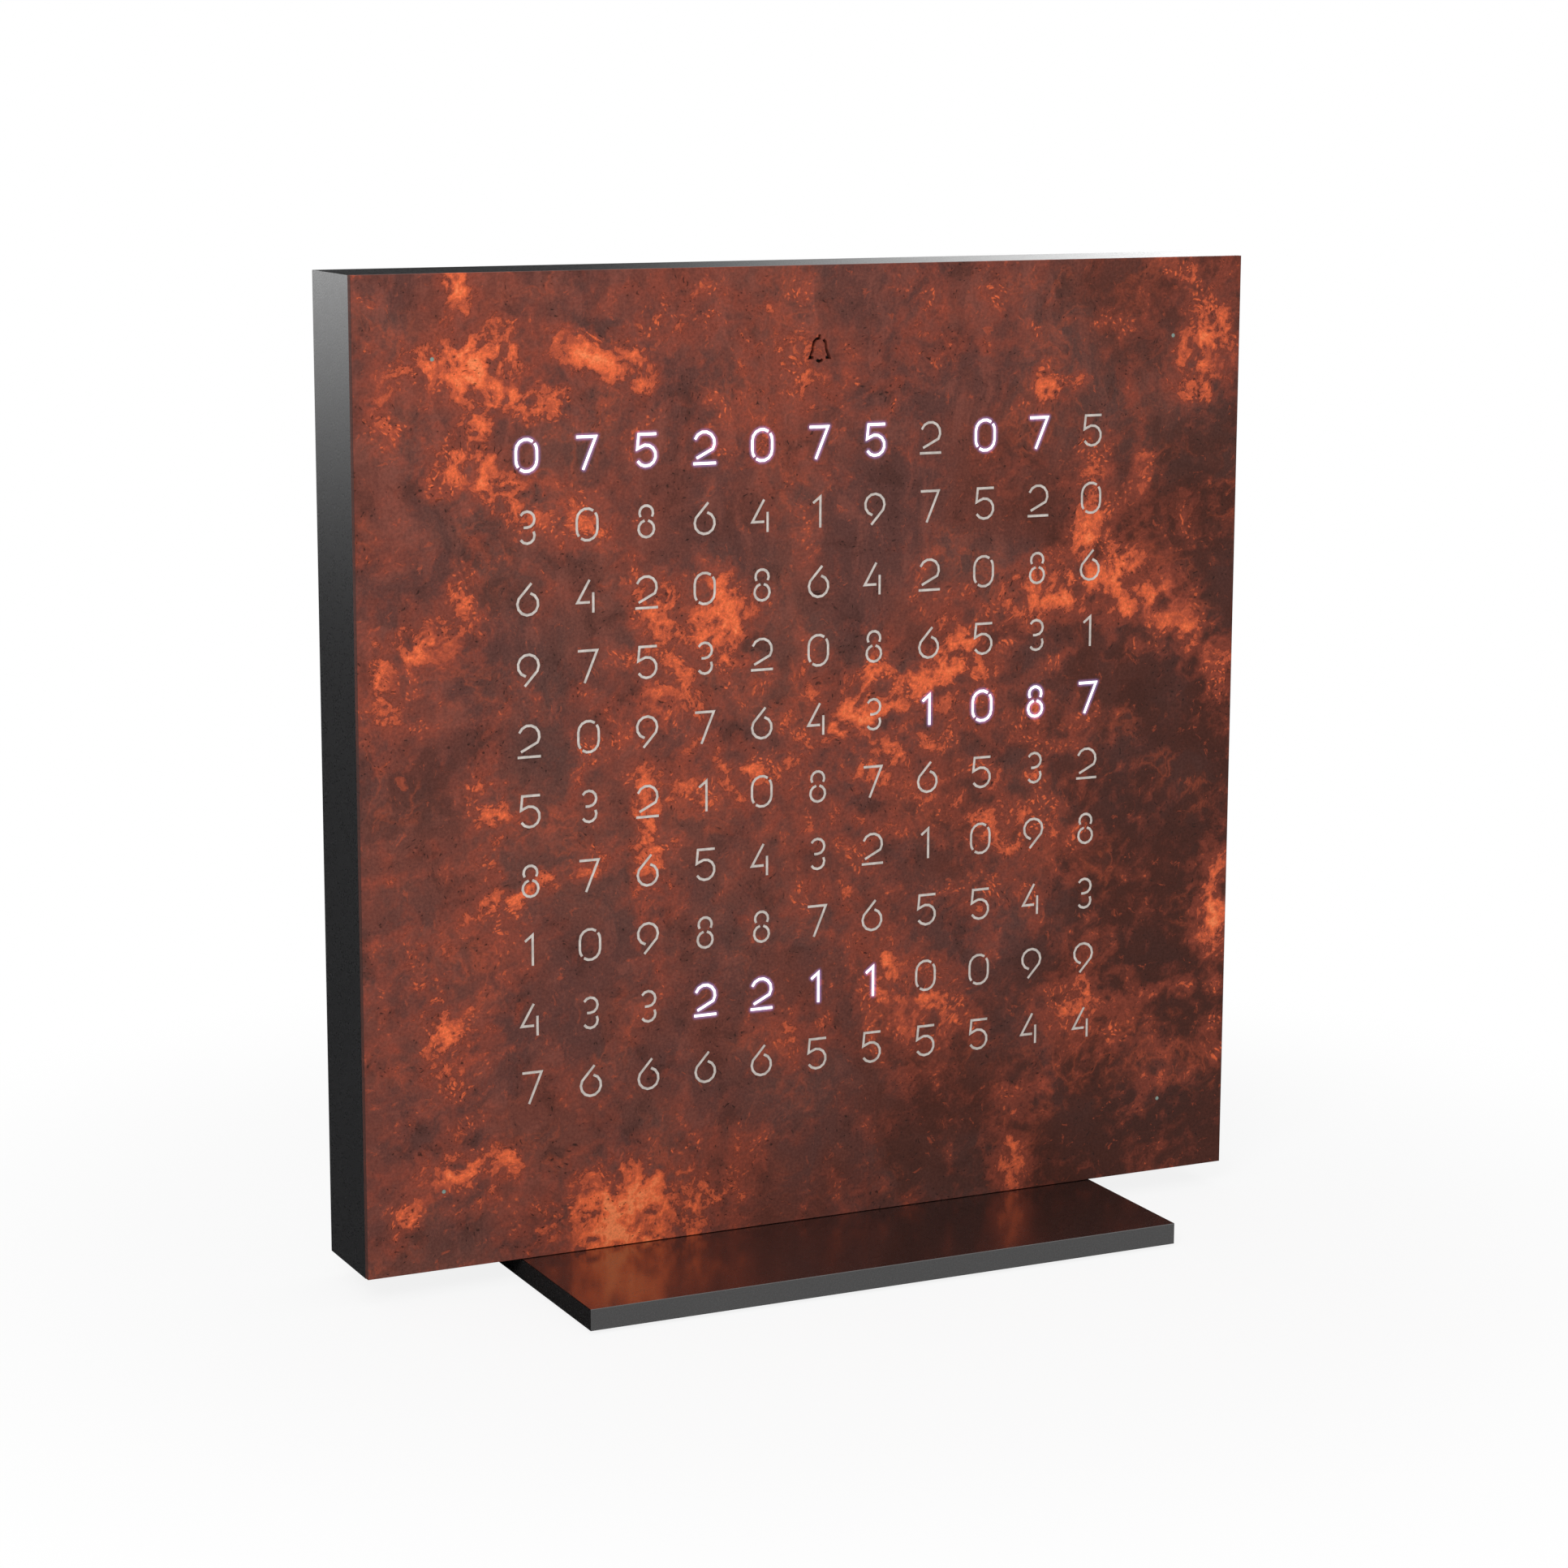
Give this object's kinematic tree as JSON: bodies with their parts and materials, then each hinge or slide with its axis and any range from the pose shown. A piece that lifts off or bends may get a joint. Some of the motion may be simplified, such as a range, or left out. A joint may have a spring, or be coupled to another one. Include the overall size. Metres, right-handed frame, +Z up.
{
  "type": "word clock",
  "caption": "Square table word clock: rusted steel front plate with a stencil-cut field of numerals, some lit from behind, on a shallow dark housing with a flat rectangular foot.",
  "frame": {"origin": "centre of the underside, on the surface that the clock stands on, midway across the width and the foot's depth", "axes": "+Z up, +X to the right seen from the front, -Y towards the viewer in front of the clock"},
  "size_m": [0.135, 0.063, 0.1385],
  "materials": {
    "rusted_steel": "steel sheet with a natural rust patina under a matt clear coat: brown-red with bright orange patches and veins",
    "diffuser_plastic": "pale translucent diffusing plastic, lit white in the cells that show the time",
    "pin_steel": "plain turned steel",
    "dark_powder_coat": "dark grey fine-grained powder coat, satin",
    "magnet_nickel": "nickel plated",
    "black_plastic": "black moulded plastic, matt",
    "board_laminate": "green solder mask on glass-fibre laminate",
    "diode_package": "white package with a pale yellow lens",
    "standoff_brass": "turned brass",
    "screw_steel": "zinc-plated steel",
    "chip_plastic": "black moulded component package, matt",
    "capacitor_ceramic": "brown ceramic with tinned ends",
    "can_steel": "stamped stainless steel",
    "clear_plastic": "clear plastic light guide",
    "plunger_plastic": "cream moulded plastic",
    "button_plastic": "dark moulded plastic, fine texture",
    "black_screw_steel": "black oxide finished steel",
    "satin_foot_coat": "dark satin coat that mirrors softly",
    "pad_rubber": "black rubber, matt"
  },
  "bodies": {
    "housing": {"housing_frame": "dark_powder_coat", "holding_magnets": "magnet_nickel", "light_grid": "black_plastic", "light_board": "board_laminate", "light_diodes": "diode_package", "board_standoffs": "standoff_brass", "board_screws": "screw_steel", "microcontroller": "chip_plastic", "driver_chips": "chip_plastic", "capacitors": "capacitor_ceramic", "clock_crystal": "can_steel", "cell_holder": "black_plastic", "backup_cell": "can_steel", "cell_strap": "can_steel", "alarm_sounder": "chip_plastic", "light_sensor": "chip_plastic", "sensor_window": "clear_plastic", "inlet_shell": "can_steel", "inlet_tongue": "black_plastic", "push_switches": "chip_plastic", "rear_cover": "dark_powder_coat", "cover_screws": "black_screw_steel", "foot_plate": "satin_foot_coat", "foot_screws": "black_screw_steel", "threaded_inserts": "standoff_brass", "foot_pads": "pad_rubber"},
    "front_cover": {"front_plate": "rusted_steel", "diffuser": "diffuser_plastic", "locating_pins": "pin_steel"},
    "setting_button_1": {"button_1": "button_plastic", "switch_plunger_1": "plunger_plastic"},
    "setting_button_2": {"button_2": "button_plastic", "switch_plunger_2": "plunger_plastic"},
    "setting_button_3": {"button_3": "button_plastic", "switch_plunger_3": "plunger_plastic"}
  },
  "joints": [
    {"name": "front_cover_pull", "type": "slide", "parent": "housing", "child": "front_cover", "axis": [0, -1, 0], "range_m": [0, 0.025]},
    {"name": "button_1_press", "type": "slide", "parent": "housing", "child": "setting_button_1", "axis": [0, -1, 0], "range_m": [0, 0.0004], "stiffness_N_per_m": 2000},
    {"name": "button_2_press", "type": "slide", "parent": "housing", "child": "setting_button_2", "axis": [0, -1, 0], "range_m": [0, 0.0004], "stiffness_N_per_m": 2000},
    {"name": "button_3_press", "type": "slide", "parent": "housing", "child": "setting_button_3", "axis": [0, -1, 0], "range_m": [0, 0.0004], "stiffness_N_per_m": 2000}
  ]
}
